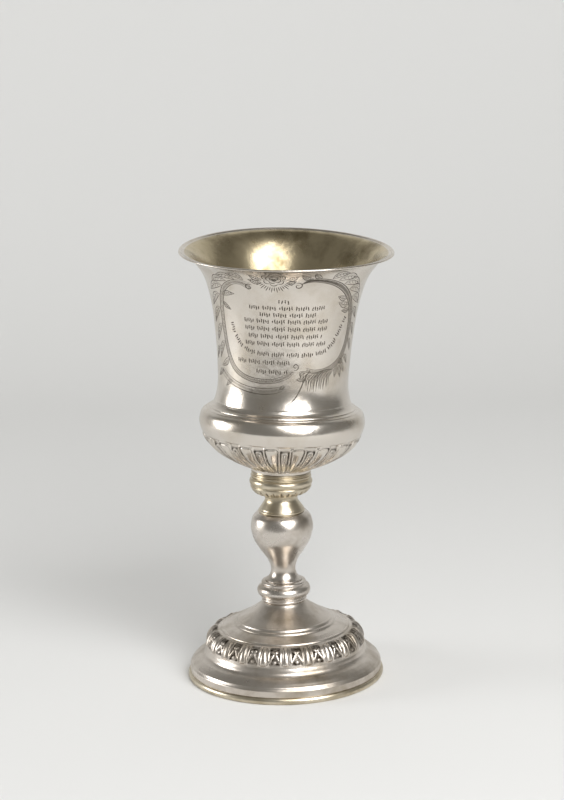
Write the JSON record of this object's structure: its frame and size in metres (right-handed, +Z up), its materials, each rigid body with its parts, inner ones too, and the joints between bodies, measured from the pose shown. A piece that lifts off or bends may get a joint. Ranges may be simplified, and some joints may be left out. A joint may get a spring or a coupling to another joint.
{
  "type": "kiddush cup",
  "caption": "Silver kiddush goblet: flared bowl with a gadrooned base, baluster stem and round stepped foot; it stands upright and holds wine.",
  "frame": {"origin": "on the table plane, under the middle of the space that the leaning cup takes up", "axes": "+Z up; the engraved front faces -Y; +X is to the viewer's right"},
  "size_m": [0.092, 0.0924, 0.1887],
  "materials": {
    "raised_silver": "old polished silver, engraved outside, gilt and worn inside, warm tarnish in the recesses",
    "cast_silver": "old polished silver with fine casting pits and darkened grooves",
    "stamped_silver": "old polished silver, stamped frieze with dark patina in the recesses",
    "tarnished_silver": "silver with yellow-brown tarnish along its mouldings"
  },
  "bodies": {
    "root": {"foot_wire": "tarnished_silver", "foot": "stamped_silver", "knop": "cast_silver", "baluster": "cast_silver", "collar": "tarnished_silver", "bowl": "raised_silver"}
  },
  "joints": []
}
